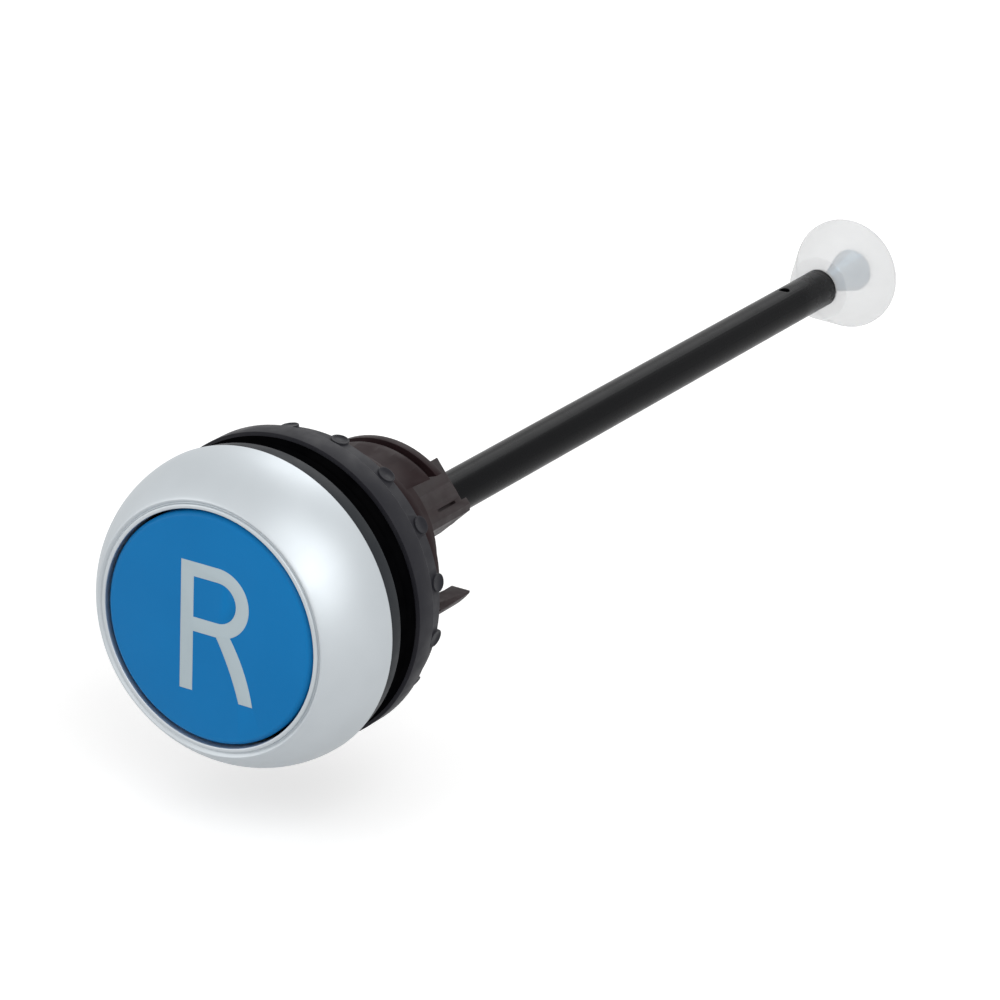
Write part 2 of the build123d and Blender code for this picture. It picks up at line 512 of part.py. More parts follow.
def push_rod():
    tube = ring(ROD_RADIUS, ROD_BORE, ROD_START_Y, ROD_END_Y)
    return (tube - cross_pin(CROSS_HOLE_ANGLE, CROSS_HOLE_Y, CROSS_HOLE_RADIUS, 2 * ROD_RADIUS)
            - cross_pin(CLUTCH_ANGLE + 90, CLUTCH_PIN_Y, CLUTCH_PIN_RADIUS + FIT_GAP, 2 * ROD_RADIUS))


def clutch_block():
    """The flat-sided block round the hub, with one lower edge cut off."""
    outline = make_face(Polyline((BLOCK_HIGH, -BLOCK_SIDE), (BLOCK_HIGH, BLOCK_SIDE),
                                 (-BLOCK_LOW, BLOCK_SIDE), (-BLOCK_LOW, BLOCK_CUT - BLOCK_SIDE),
                                 (BLOCK_CUT - BLOCK_LOW, -BLOCK_SIDE), close=True))
    return extrude(across(CLUTCH_ANGLE, CLUTCH_FLANGE_REAR) * outline, CLUTCH_FLANGE_REAR - CLUTCH_REAR_Y)


def beside_ear():
    """What is cut off beside the low ear, so that the block's end slants back to its high side."""
    turn = radians(CLUTCH_ANGLE)
    side = Plane(origin=(0, 0, 0), x_dir=(cos(turn), 0, sin(turn)), z_dir=(-sin(turn), 0, cos(turn)))
    ear = LOW_EAR_THICKNESS - BLOCK_LOW
    outline = make_face(Polyline((ear, CLUTCH_HUB_REAR), (BLOCK_HIGH, CLUTCH_REAR_Y - BLOCK_END_SETBACK),
                                 (BLOCK_HIGH, CLUTCH_REAR_Y), (ear, CLUTCH_REAR_Y), close=True))
    return extrude(side * outline, BLOCK_SIDE, both=True)


def rod_clutch():
    """The moulding that plugs into the plunger's tail and grips the rod in its block."""
    spigot = disc(CLUTCH_SPIGOT_RADIUS, TAIL_END_Y - CLUTCH_SPIGOT_LENGTH, TAIL_END_Y)
    flange = disc(CLUTCH_FLANGE_RADIUS, TAIL_END_Y, CLUTCH_FLANGE_REAR)
    hub = disc(CLUTCH_HUB_RADIUS, CLUTCH_FLANGE_REAR, CLUTCH_HUB_REAR)
    slot_top = LOW_EAR_THICKNESS - BLOCK_LOW + CLUTCH_SLOT_WIDTH
    slot_rear = CLUTCH_HUB_REAR - CLUTCH_SLOT_FROM_REAR
    slot = block(CLUTCH_ANGLE, slot_top - CLUTCH_SLOT_WIDTH, slot_top,
                 -CLUTCH_HUB_RADIUS, CLUTCH_SLOT_DEPTH - BLOCK_SIDE,
                 slot_rear - CLUTCH_SLOT_LENGTH, slot_rear)
    bore = disc(CLUTCH_BORE, ROD_START_Y - FACE_GAP, CLUTCH_REAR_Y)
    pin_hole = cross_pin(CLUTCH_ANGLE + 90, CLUTCH_PIN_Y, CLUTCH_PIN_RADIUS + FIT_GAP, CLUTCH_FLANGE_RADIUS)
    body = spigot + flange + hub + clutch_block()
    return body - beside_ear() - slot - bore - pin_hole


def clutch_pin():
    return cross_pin(CLUTCH_ANGLE + 90, CLUTCH_PIN_Y, CLUTCH_PIN_RADIUS, CLUTCH_SPIGOT_RADIUS - PIN_END_GAP)


def foot_stud():
    """A turned stud whose shank is pinned in the tube and whose flared head is moulded into the foot."""
    shank_front = ROD_END_Y - STUD_SHANK_LENGTH
    stud = turned((0, shank_front), (ROD_BORE - FIT_GAP, shank_front), (ROD_BORE - FIT_GAP, ROD_END_Y),
                  (STUD_NECK_RADIUS, ROD_END_Y), (STUD_NECK_RADIUS, STUD_HEAD_START_Y),
                  (STUD_HEAD_RADIUS, STUD_HEAD_END_Y), (0, STUD_HEAD_END_Y))
    return stud - cross_pin(CROSS_HOLE_ANGLE, CROSS_HOLE_Y, CROSS_HOLE_RADIUS, ROD_RADIUS)


def foot_pin():
    return cross_pin(CROSS_HOLE_ANGLE, CROSS_HOLE_Y, CROSS_HOLE_RADIUS - FIT_GAP, ROD_BORE)


def push_foot():
    """The clear cone that pushes the device behind the panel, moulded round the stud's head."""
    cone = turned((0, FOOT_NECK_Y), (FOOT_NECK_RADIUS, FOOT_NECK_Y), (FOOT_RIM_RADIUS, FOOT_RIM_Y),
                  (FOOT_RIM_RADIUS, FOOT_NOSE_Y), (FOOT_FACE_RADIUS, FOOT_FACE_Y), (0, FOOT_FACE_Y))
    socket = disc(FOOT_SOCKET, FOOT_NECK_Y, ROD_END_Y)
    stud_room = turned((0, ROD_END_Y), (STUD_NECK_RADIUS, ROD_END_Y), (STUD_NECK_RADIUS, STUD_HEAD_START_Y),
                       (STUD_HEAD_RADIUS, STUD_HEAD_END_Y), (0, STUD_HEAD_END_Y))
    return cone - socket - stud_room


PARTS = {
    "button_plate": button_plate,
    "reset_letter": reset_letter,
    "front_bezel": front_bezel,
    "operator_body": operator_body,
    "panel_seal": panel_seal,
    "wiper_seal": wiper_seal,
    "seal_washer": seal_washer,
    "plunger": plunger,
    "return_spring": return_spring,
    "spring_washer": spring_washer,
    "plunger_guide": plunger_guide,
    "guide_snap_ring": guide_snap_ring,
    "ring_nut": ring_nut,
    "rod_clutch": rod_clutch,
    "clutch_pin": clutch_pin,
    "push_rod": push_rod,
    "foot_stud": foot_stud,
    "foot_pin": foot_pin,
    "push_foot": push_foot,
}

os.makedirs("parts", exist_ok=True)
for name, make in PARTS.items():
    export_step(make(), "parts/" + name + ".step")
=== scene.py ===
# %% [markdown]
# # A reset pushbutton with a long push rod
#
# The object is the front part of a machine's reset button. A blue plate sits in a satin metal
# bezel, a black seal and a ring nut clamp it in a hole of the machine's panel, and a long black
# rod carries the push to a device deep inside, which a clear foot touches.
#
# The solids come first: they hold the main sizes, and they are loaded here as a fixed frame. This
# lesson gives them their looks. Turned pieces are made again with soft edges, moulded pieces
# are copied from their solids and get rounded edges, and each one rides on a body of the frame.

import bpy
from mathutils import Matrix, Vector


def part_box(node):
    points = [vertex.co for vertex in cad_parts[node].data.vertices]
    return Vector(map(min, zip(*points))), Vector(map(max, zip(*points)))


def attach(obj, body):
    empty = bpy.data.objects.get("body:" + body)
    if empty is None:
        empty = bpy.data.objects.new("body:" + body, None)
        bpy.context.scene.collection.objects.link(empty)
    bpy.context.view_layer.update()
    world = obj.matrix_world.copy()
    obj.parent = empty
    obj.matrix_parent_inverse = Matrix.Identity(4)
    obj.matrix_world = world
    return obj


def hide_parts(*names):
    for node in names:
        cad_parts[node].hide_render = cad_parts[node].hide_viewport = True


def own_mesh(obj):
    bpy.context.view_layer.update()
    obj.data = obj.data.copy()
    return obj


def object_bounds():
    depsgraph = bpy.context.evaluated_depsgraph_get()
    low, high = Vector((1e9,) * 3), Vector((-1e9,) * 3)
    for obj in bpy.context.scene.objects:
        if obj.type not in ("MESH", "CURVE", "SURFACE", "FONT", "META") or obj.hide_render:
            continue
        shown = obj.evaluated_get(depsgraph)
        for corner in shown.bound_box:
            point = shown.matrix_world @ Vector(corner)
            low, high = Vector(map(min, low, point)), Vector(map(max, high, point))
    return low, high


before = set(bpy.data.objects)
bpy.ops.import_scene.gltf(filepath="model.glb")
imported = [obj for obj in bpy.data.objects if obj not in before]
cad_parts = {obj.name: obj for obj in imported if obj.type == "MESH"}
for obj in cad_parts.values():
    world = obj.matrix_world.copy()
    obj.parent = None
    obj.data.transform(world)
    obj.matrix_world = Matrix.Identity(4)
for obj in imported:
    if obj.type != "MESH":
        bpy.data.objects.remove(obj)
cad_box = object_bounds()

# %% Modules and units
from math import acos, cos, pi, radians, sin

import bmesh
import bpy
from mathutils import Matrix, Vector

MM = 0.001
AXIS = (0, 1, 0)
CENTRE = (0, 0, 0)

# %% [markdown]
# ## The camera
#
# A long lens shows the button as the photograph does, from the front right and a little from
# above. A camera looks along its own minus Z, so its matrix has three columns: what is right,
# what is up, and the way back. Three vectors say that more plainly than three angles.

# %% Camera
CAMERA_PLACE = Vector((0.1902, -0.2856, 0.1469))
CAMERA_FORWARD = Vector((-0.47042, 0.80007, -0.37229))
CAMERA_UP = Vector((-0.22794, 0.29740, 0.92715))
LENS_MM = 149.2
SENSOR_MM = 36.0
CLIP_START, CLIP_END = 0.01, 20


def camera_matrix(place, forward, up):
    """Turns the camera's own axes onto right, up and the way back, and puts it in its place."""
    right = forward.cross(up).normalized()
    turn = Matrix((right, right.cross(forward).normalized(), -forward.normalized())).transposed()
    return Matrix.Translation(place) @ turn.to_4x4()


lens = bpy.data.cameras.new("photo_lens")
lens.lens = LENS_MM
lens.sensor_width = SENSOR_MM
lens.clip_start = CLIP_START
lens.clip_end = CLIP_END
camera = bpy.data.objects.new("photo_camera", lens)
bpy.context.scene.collection.objects.link(camera)
camera.matrix_world = camera_matrix(CAMERA_PLACE, CAMERA_FORWARD, CAMERA_UP)
bpy.context.scene.camera = camera
print("camera", round((CAMERA_PLACE - Vector(CENTRE)).length / MM), "mm from the seal")

# %% [markdown]
# ## The studio
#
# A product shot has big soft lamps and a pale floor. The lamps are area lamps, because their
# size sets how soft a shadow and a highlight are. The floor is a matt sheet. It glows a little
# for the camera, so that it reads as white paper, and it still takes the shadow. A shiny piece
# sees a weaker glow, which keeps its underside a shade darker than its top. The world is white
# for the camera and for what the metal shows of it.

# %% World
WHITE = (1, 1, 1, 1)
WORLD_LIGHT = 0.50
WORLD_RAYS = {"Is Camera Ray": 1.0, "Is Glossy Ray": 1.0}


def seen_rays(links, nodes, shares):
    """The share that the present kind of ray sees: 0 for the rays that light the matt pieces."""
    path = nodes.new("ShaderNodeLightPath")
    total = None
    for name, share in shares.items():
        part = nodes.new("ShaderNodeMath")
        part.operation = "MULTIPLY_ADD"
        part.inputs[1].default_value = share
        part.inputs[2].default_value = 0
        links.new(path.outputs[name], part.inputs[0])
        if total:
            links.new(total, part.inputs[2])
        total = part.outputs[0]
    return total


def studio_world():
    world = bpy.data.worlds.new("studio_world")
    world.use_nodes = True
    nodes, links = world.node_tree.nodes, world.node_tree.links
    nodes.clear()
    light = nodes.new("ShaderNodeBackground")
    light.inputs["Strength"].default_value = WORLD_LIGHT
    white = nodes.new("ShaderNodeBackground")
    mix = nodes.new("ShaderNodeMixShader")
    output = nodes.new("ShaderNodeOutputWorld")
    for shader in (light, white):
        shader.inputs["Color"].default_value = WHITE
    links.new(seen_rays(links, nodes, WORLD_RAYS), mix.inputs["Fac"])
    links.new(light.outputs[0], mix.inputs[1])
    links.new(white.outputs[0], mix.inputs[2])
    links.new(mix.outputs[0], output.inputs["Surface"])
    return world


bpy.context.scene.world = studio_world()
bpy.context.scene.view_settings.view_transform = "Standard"
print("world light", WORLD_LIGHT)

# %% Paper floor
FLOOR_GAP = 6 * MM
FLOOR_SIZE = 4.0
FLOOR_COLOUR = (0.86, 0.86, 0.86, 1)
FLOOR_GLOW = 0.42
FLOOR_RAYS = {"Is Camera Ray": 1.0, "Is Glossy Ray": 0.6}


def white_paper():
    paper = bpy.data.materials.new("white_paper")
    paper.use_nodes = True
    nodes, links = paper.node_tree.nodes, paper.node_tree.links
    nodes.clear()
    matt = nodes.new("ShaderNodeBsdfDiffuse")
    matt.inputs["Color"].default_value = FLOOR_COLOUR
    glow = nodes.new("ShaderNodeEmission")
    strength = nodes.new("ShaderNodeMath")
    strength.operation = "MULTIPLY"
    strength.inputs[1].default_value = FLOOR_GLOW
    add = nodes.new("ShaderNodeAddShader")
    output = nodes.new("ShaderNodeOutputMaterial")
    links.new(seen_rays(links, nodes, FLOOR_RAYS), strength.inputs[0])
    links.new(strength.outputs[0], glow.inputs["Strength"])
    links.new(matt.outputs[0], add.inputs[0])
    links.new(glow.outputs[0], add.inputs[1])
    links.new(add.outputs[0], output.inputs["Surface"])
    return paper


def paper_floor(height):
    skin = bmesh.new()
    bmesh.ops.create_grid(skin, x_segments=1, y_segments=1, size=FLOOR_SIZE / 2)
    bmesh.ops.translate(skin, verts=skin.verts, vec=(0, 0, height))
    mesh = bpy.data.meshes.new("paper_floor")
    skin.to_mesh(mesh)
    skin.free()
    mesh.materials.append(white_paper())
    floor = bpy.data.objects.new("paper_floor", mesh)
    bpy.context.scene.collection.objects.link(floor)


paper_floor(cad_box[0].z - FLOOR_GAP)
print("floor at", round((cad_box[0].z - FLOOR_GAP) / MM, 1), "mm")

# %% Lamps
LAMPS = {
    "key_lamp": {"place": (0.38, -0.20, 0.34), "size": 0.50, "watts": 1.25},
    "fill_lamp": {"place": (-0.42, -0.40, 0.22), "size": 0.50, "watts": 0.7},
    "back_lamp": {"place": (-0.10, 0.45, 0.40), "size": 0.40, "watts": 0.7},
}
LAMP_TARGET = Vector((0, 0.02, 0))


def area_lamp(name, place, size, watts):
    """A round lamp. An area lamp shines along its own minus Z, which is turned to the target."""
    light = bpy.data.lights.new(name, "AREA")
    light.shape = "DISK"
    light.size = size
    light.energy = watts
    lamp = bpy.data.objects.new(name, light)
    bpy.context.scene.collection.objects.link(lamp)
    lamp.location = place
    lamp.rotation_mode = "QUATERNION"
    lamp.rotation_quaternion = (LAMP_TARGET - Vector(place)).to_track_quat("-Z", "Y")


for name, facts in LAMPS.items():
    area_lamp(name, **facts)
print("lamps:", len(LAMPS))

# %% [markdown]
# ## Finishes
#
# Each finish starts from one Principled shader. Two things keep it from looking like a flat
# colour: a mottle, a slow noise that shifts the colour or the gloss, and a grain, a fine noise
# that works as bump. Both read Object coordinates. Every piece's object sits at the origin, so
# a noise of so many millimetres is that large on every piece.

# %% A plain finish
def shader_input(finish, socket):
    """A socket of the finish's Principled shader."""
    return finish.node_tree.nodes["Principled BSDF"].inputs[socket]


def plain_finish(name, colour, roughness, metallic=0.0, mirror=0.5):
    """A Principled finish. Mirror is its specular level: 0.5 is common plastic, 0 has no shine."""
    finish = bpy.data.materials.new(name)
    finish.use_nodes = True
    shader_input(finish, "Base Color").default_value = (*colour, 1)
    shader_input(finish, "Roughness").default_value = roughness
    shader_input(finish, "Metallic").default_value = metallic
    shader_input(finish, "Specular IOR Level").default_value = mirror
    print("finish", name, "roughness", roughness)
    return finish


# %% Mottle, uneven gloss and grain
NOISE_LOW, NOISE_HIGH = 0.35, 0.65
MOTTLE_DETAIL = 2.0
GRAIN_DETAIL = 3.0


def noise(finish, size_mm, detail=MOTTLE_DETAIL):
    """A noise whose blotches are about size_mm wide. Most of it lies from NOISE_LOW to NOISE_HIGH."""
    nodes, links = finish.node_tree.nodes, finish.node_tree.links
    place = nodes.new("ShaderNodeTexCoord")
    texture = nodes.new("ShaderNodeTexNoise")
    texture.inputs["Scale"].default_value = 1 / (size_mm * MM)
    texture.inputs["Detail"].default_value = detail
    links.new(place.outputs["Object"], texture.inputs["Vector"])
    return texture.outputs["Fac"]


def mottle(finish, size_mm, dark, light):
    """The colour drifts between dark and light over size_mm."""
    nodes, links = finish.node_tree.nodes, finish.node_tree.links
    ramp = nodes.new("ShaderNodeValToRGB")
    ends = ((NOISE_LOW, dark), (NOISE_HIGH, light))
    for stop, (position, colour) in zip(ramp.color_ramp.elements, ends):
        stop.position = position
        stop.color = (*colour, 1)
    links.new(noise(finish, size_mm), ramp.inputs["Fac"])
    links.new(ramp.outputs["Color"], shader_input(finish, "Base Color"))


def uneven_gloss(finish, size_mm, low, high):
    """The roughness drifts between low and high over size_mm."""
    nodes, links = finish.node_tree.nodes, finish.node_tree.links
    spread = nodes.new("ShaderNodeMapRange")
    spread.inputs["From Min"].default_value = NOISE_LOW
    spread.inputs["From Max"].default_value = NOISE_HIGH
    spread.inputs["To Min"].default_value = low
    spread.inputs["To Max"].default_value = high
    links.new(noise(finish, size_mm), spread.inputs["Value"])
    links.new(spread.outputs["Result"], shader_input(finish, "Roughness"))


def grain(finish, size_mm, height_mm, strength):
    """A fine bump, height_mm deep."""
    nodes, links = finish.node_tree.nodes, finish.node_tree.links
    bump = nodes.new("ShaderNodeBump")
    bump.inputs["Distance"].default_value = height_mm * MM
    bump.inputs["Strength"].default_value = strength
    links.new(noise(finish, size_mm, GRAIN_DETAIL), bump.inputs["Height"])
    links.new(bump.outputs["Normal"], shader_input(finish, "Normal"))


# %% [markdown]
# ### Satin metal
#
# The bezel is blasted and plated, so it has no sharp mirror image, only wide soft highlights.
# Metallic 1 with a middle roughness gives that. The grain is about a tenth of a millimetre
# wide: it should spread the light, not show as dots.

# %% Satin metal
# The slight blue in this grey is a painted reflection. It stands in for the bluish light that the plated
# metal mirrors, and it is the same all over the bezel.
satin_metal = plain_finish("satin_metal_finish", (0.535, 0.57, 0.595), roughness=0.52, metallic=1.0)
mottle(satin_metal, size_mm=6.0, dark=(0.525, 0.56, 0.585), light=(0.545, 0.58, 0.605))
uneven_gloss(satin_metal, size_mm=4.0, low=0.50, high=0.54)
grain(satin_metal, size_mm=0.12, height_mm=0.003, strength=0.3)

# %% [markdown]
# ### Moulded plastics
#
# The plate and its letter are one two-colour moulding with a silky gloss. The collar, the nut
# and the guide are glass-filled plastic: darker, duller, and with a faint grain from the mould.

# %% Moulded plastics
blue_plastic = plain_finish("blue_plastic_finish", (0.004, 0.183, 0.475), roughness=0.36, mirror=0.12)
mottle(blue_plastic, size_mm=9.0, dark=(0.0035, 0.178, 0.465), light=(0.0045, 0.188, 0.485))
uneven_gloss(blue_plastic, size_mm=5.0, low=0.33, high=0.40)
grain(blue_plastic, size_mm=0.25, height_mm=0.004, strength=0.3)

letter_plastic = plain_finish("letter_plastic_finish", (0.475, 0.56, 0.60), roughness=0.40, mirror=0.2)
mottle(letter_plastic, size_mm=5.0, dark=(0.465, 0.55, 0.59), light=(0.485, 0.57, 0.61))
grain(letter_plastic, size_mm=0.25, height_mm=0.004, strength=0.3)

collar_plastic = plain_finish("collar_plastic_finish", (0.021, 0.024, 0.028), roughness=0.46, mirror=0.12)
mottle(collar_plastic, size_mm=3.0, dark=(0.019, 0.022, 0.026), light=(0.023, 0.026, 0.030))
uneven_gloss(collar_plastic, size_mm=2.0, low=0.44, high=0.54)
grain(collar_plastic, size_mm=0.18, height_mm=0.008, strength=0.4)

nut_plastic = plain_finish("nut_plastic_finish", (0.022, 0.022, 0.027), roughness=0.46, mirror=0.12)
mottle(nut_plastic, size_mm=2.5, dark=(0.020, 0.020, 0.025), light=(0.024, 0.024, 0.029))
uneven_gloss(nut_plastic, size_mm=1.6, low=0.40, high=0.52)
grain(nut_plastic, size_mm=0.18, height_mm=0.008, strength=0.4)

guide_plastic = plain_finish("guide_plastic_finish", (0.019, 0.010, 0.011), roughness=0.42, mirror=0.08)
mottle(guide_plastic, size_mm=3.0, dark=(0.016, 0.008, 0.009), light=(0.022, 0.012, 0.013))
uneven_gloss(guide_plastic, size_mm=2.0, low=0.36, high=0.50)
grain(guide_plastic, size_mm=0.2, height_mm=0.006, strength=0.4)

clutch_plastic = plain_finish("clutch_plastic_finish", (0.030, 0.022, 0.023), roughness=0.46, mirror=0.12)
mottle(clutch_plastic, size_mm=2.0, dark=(0.027, 0.020, 0.021), light=(0.033, 0.024, 0.025))
uneven_gloss(clutch_plastic, size_mm=1.5, low=0.40, high=0.54)
grain(clutch_plastic, size_mm=0.2, height_mm=0.008, strength=0.4)

# %% [markdown]
# ### Rubber, black skin, metal and the milky foot
#
# Rubber is the darkest thing here and has the least gloss. The rod has a smooth black skin
# that mirrors the pale studio along its upper and lower sides. The zinc on the stud has the
# bluish tint of its passivation. The foot is milky: most light is scattered in it and some goes
# straight through, so its white body is half open, and what lies inside shows through it softly.

# %% Rubber and the rod's black skin
seal_rubber = plain_finish("seal_rubber_finish", (0.0018, 0.0018, 0.0021), roughness=0.7, mirror=0.0)
mottle(seal_rubber, size_mm=2.0, dark=(0.0014, 0.0014, 0.0017), light=(0.0022, 0.0022, 0.0025))
uneven_gloss(seal_rubber, size_mm=1.5, low=0.66, high=0.74)
grain(seal_rubber, size_mm=0.3, height_mm=0.006, strength=0.4)

rod_black = plain_finish("rod_black_finish", (0.002, 0.002, 0.0025), roughness=0.26, mirror=0.055)
# The faint blue of the rod's reflections is painted. It stands in for the bluish studio light on the
# rod's sheen.
shader_input(rod_black, "Specular Tint").default_value = (0.9, 0.95, 1.0, 1)
mottle(rod_black, size_mm=3.0, dark=(0.0018, 0.0018, 0.0023), light=(0.0022, 0.0022, 0.0027))
uneven_gloss(rod_black, size_mm=2.5, low=0.24, high=0.29)

# %% Zinc, steel and the milky foot
MILKY_COVER = 0.47

zinc = plain_finish("zinc_finish", (0.28, 0.46, 0.60), roughness=0.30, metallic=1.0)
mottle(zinc, size_mm=1.0, dark=(0.16, 0.34, 0.50), light=(0.40, 0.57, 0.68))
grain(zinc, size_mm=0.3, height_mm=0.006, strength=0.4)

bright_steel = plain_finish("bright_steel_finish", (0.52, 0.52, 0.53), roughness=0.28, metallic=1.0)
mottle(bright_steel, size_mm=1.0, dark=(0.46, 0.46, 0.47), light=(0.57, 0.57, 0.58))
grain(bright_steel, size_mm=0.2, height_mm=0.004, strength=0.4)

milky_plastic = plain_finish("milky_plastic_finish", (0.86, 0.865, 0.87), roughness=0.42, mirror=0.3)
shader_input(milky_plastic, "Alpha").default_value = MILKY_COVER
mottle(milky_plastic, size_mm=3.0, dark=(0.85, 0.855, 0.86), light=(0.87, 0.875, 0.88))
uneven_gloss(milky_plastic, size_mm=2.0, low=0.40, high=0.44)
print("finishes:", len(bpy.data.materials))

# %% [markdown]
# ## Turned pieces
#
# Most of this object is round about one axis. Such a piece starts as an outline: a few points
# on a half plane, at their radius and their place along the axis. Its corners are rounded while
# it is still a wire, which costs nothing, and one spin makes the skin. A full spin needs
# use_merge, or its first and last rows stay apart.

# %% An outline and its rounded corners
ROUND_SEGMENTS = 3
HALF_ROUND = 0.5


def outline(corners):
    """A closed wire of (radius, y) corners in millimetres. It returns the skin and its points."""
    skin = bmesh.new()
    points = [skin.verts.new((radius * MM, y * MM, 0)) for radius, y in corners]
    for first, second in zip(points, points[1:] + points[:1]):
        skin.edges.new((first, second))
    return skin, points


def soften(skin, points, radius_mm):
    """Rounds corners of a wire."""
    bmesh.ops.bevel(skin, geom=points, offset=radius_mm * MM, segments=ROUND_SEGMENTS,
                    profile=HALF_ROUND, affect="VERTICES", material=-1)


# %% One turn about the axis
TURN_STEPS = 144
MERGE_DISTANCE = 0.0002 * MM


def clean(skin):
    """Merges points in one place, drops faces without area and turns all faces outwards."""
    bmesh.ops.remove_doubles(skin, verts=skin.verts, dist=MERGE_DISTANCE)
    bmesh.ops.dissolve_degenerate(skin, edges=skin.edges, dist=MERGE_DISTANCE)
    bmesh.ops.recalc_face_normals(skin, faces=skin.faces)


def turn(skin, steps=TURN_STEPS):
    """Spins a wire about the button's axis and closes its seam and its poles."""
    bmesh.ops.spin(skin, geom=skin.verts[:] + skin.edges[:], cent=CENTRE, axis=AXIS, dvec=(0, 0, 0),
                   angle=2 * pi, steps=steps, use_merge=True)
    clean(skin)
    return skin


# %% From a skin to a piece
SHARP_ANGLE = radians(32)


def piece(name, skin, finish, body, node):
    """A finished piece from a skin: it rides on a body and stands for one solid of the frame."""
    mesh = bpy.data.meshes.new(name)
    open_edges = sum(not edge.is_manifold for edge in skin.edges)
    skin.to_mesh(mesh)
    skin.free()
    mesh.materials.append(finish)
    mesh.shade_smooth()
    mesh.set_sharp_from_angle(angle=SHARP_ANGLE)
    made = bpy.data.objects.new(name, mesh)
    bpy.context.scene.collection.objects.link(made)
    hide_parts(node)
    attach(made, body)
    print(name, "faces", len(mesh.polygons), "open edges", open_edges)
    return made


# %% [markdown]
# ## The satin bezel
#
# On the real button this is a deep-drawn or die-cast ring that snaps over the plastic body.
# Its outline has a thin lip round the plate, a soft groove outside the lip, and a wide dome
# that falls away to the collar. A dome like this could be a subdivision surface, but an arc in
# the outline keeps its radius exact.

# %% Satin bezel
LIP_GAP = 0.27
LIP_WIDTH = 0.38
LIP_STAND = 0.05
GROOVE_DEPTH = 0.3
GROOVE_SLOPE = 0.1
GROOVE_WIDTH = 0.45
DOME_RADIUS = 10.0
DOME_STEPS = 20
BEZEL_WALL = 1.2
NOSE_BEVEL = 1.3
LIP_ROUND = 0.11
GROOVE_ROUND = 0.13
RIM_ROUND = 0.12


def reach(node):
    """A turned solid's radius, front and rear in millimetres."""
    low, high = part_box(node)
    return high.x / MM, low.y / MM, high.y / MM


bezel_radius, _, bezel_rear = reach("front_bezel")
plate_radius, plate_face, _ = reach("button_plate")
collar_radius, nose_front, barrel_end = reach("operator_body")


def satin_bezel():
    bore = plate_radius + LIP_GAP
    lip = bore + LIP_WIDTH
    lip_front = plate_face - LIP_STAND
    dome_top = lip + GROOVE_WIDTH
    socket = bezel_radius - BEZEL_WALL
    dome_centre = bezel_radius - DOME_RADIUS
    start = acos((dome_top - dome_centre) / DOME_RADIUS)
    angles = [start * (1 - step / DOME_STEPS) for step in range(DOME_STEPS + 1)]
    dome = [(dome_centre + DOME_RADIUS * cos(a), bezel_rear - DOME_RADIUS * sin(a)) for a in angles]
    lip_corners = [(bore, lip_front), (lip, lip_front)]
    groove_floor = (lip + GROOVE_SLOPE, lip_front + GROOVE_DEPTH)
    inside = [(socket, bezel_rear), (socket, nose_front + NOSE_BEVEL),
              (socket - NOSE_BEVEL, nose_front), (bore, nose_front)]
    skin, points = outline([*lip_corners, groove_floor, *dome, *inside])
    rim = points[-len(inside) - 1]
    soften(skin, points[:2], LIP_ROUND)
    soften(skin, points[2:4], GROOVE_ROUND)
    soften(skin, [rim], RIM_ROUND)
    return turn(skin)


piece("satin_bezel", satin_bezel(), satin_metal, "housing", "front_bezel")

# %% [markdown]
# ## Moulded pieces from their solids
#
# The plate has a recess in the form of its letter, and a slotted spigot behind. Such a piece
# could be built again face by face, but its solid already has the exact form. A copy of the
# solid's mesh is merged, because it comes as loose triangles, and flat areas are dissolved back
# into single faces. What it lacks is the small round that every mould leaves on an edge, and a
# bevel on the sharp edges adds that.

# %% Helpers for moulded pieces
FLAT_ANGLE = radians(0.6)
EDGE_ANGLE = radians(30)


def skin_of(node):
    """A merged copy of a solid's mesh, with flat areas as single faces."""
    skin = bmesh.new()
    skin.from_mesh(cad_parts[node].data)
    bmesh.ops.remove_doubles(skin, verts=skin.verts, dist=MERGE_DISTANCE)
    bmesh.ops.dissolve_limit(skin, angle_limit=FLAT_ANGLE, verts=skin.verts, edges=skin.edges)
    return skin


def sharp_edges(skin, wanted=lambda edge: True):
    """The edges where two faces meet at an angle, all of them or only the wanted ones."""
    return [edge for edge in skin.edges
            if edge.is_manifold and edge.calc_face_angle() > EDGE_ANGLE and wanted(edge)]


def round_edges(skin, edges, radius_mm, segments=2):
    bmesh.ops.bevel(skin, geom=edges, offset=radius_mm * MM, segments=segments,
                    profile=HALF_ROUND, affect="EDGES", clamp_overlap=True, material=-1)


def middle(edge):
    return (edge.verts[0].co + edge.verts[1].co) / 2


# %% Blue plate and its letter
PLATE_RIM_BAND = 1.0
PLATE_ROUND = 0.12
PLATE_ROUND_SEGMENTS = 3
LETTER_FRONT_BAND = 0.1
LETTER_ROUND = 0.03


def blue_plate():
    """Only the rim gets its round: the letter's recess stays as sharp as the letter that fills it."""
    skin = skin_of("button_plate")
    rim_start = (plate_radius - PLATE_RIM_BAND) * MM
    rim = sharp_edges(skin, lambda edge: middle(edge).xz.length > rim_start)
    round_edges(skin, rim, PLATE_ROUND, PLATE_ROUND_SEGMENTS)
    return skin


def grey_letter():
    skin = skin_of("reset_letter")
    front_end = (plate_face + LETTER_FRONT_BAND) * MM
    front = sharp_edges(skin, lambda edge: middle(edge).y < front_end)
    round_edges(skin, front, LETTER_ROUND)
    return skin


piece("blue_plate", blue_plate(), blue_plastic, "button", "button_plate")
piece("grey_letter", grey_letter(), letter_plastic, "button", "reset_letter")

# %% [markdown]
# ## The collar and the threaded barrel
#
# One dark moulding carries everything: a nose under the bezel, the collar, and the barrel that
# goes through the panel. The frame's barrel is a plain cylinder as wide as the thread's crests.
# Here the barrel is a little thinner, and a ridge winds round it. A spin that also moves along
# its axis at every step makes such a ridge, and the same spin makes the return spring below.

# %% A winding
WINDING_STEPS = 72


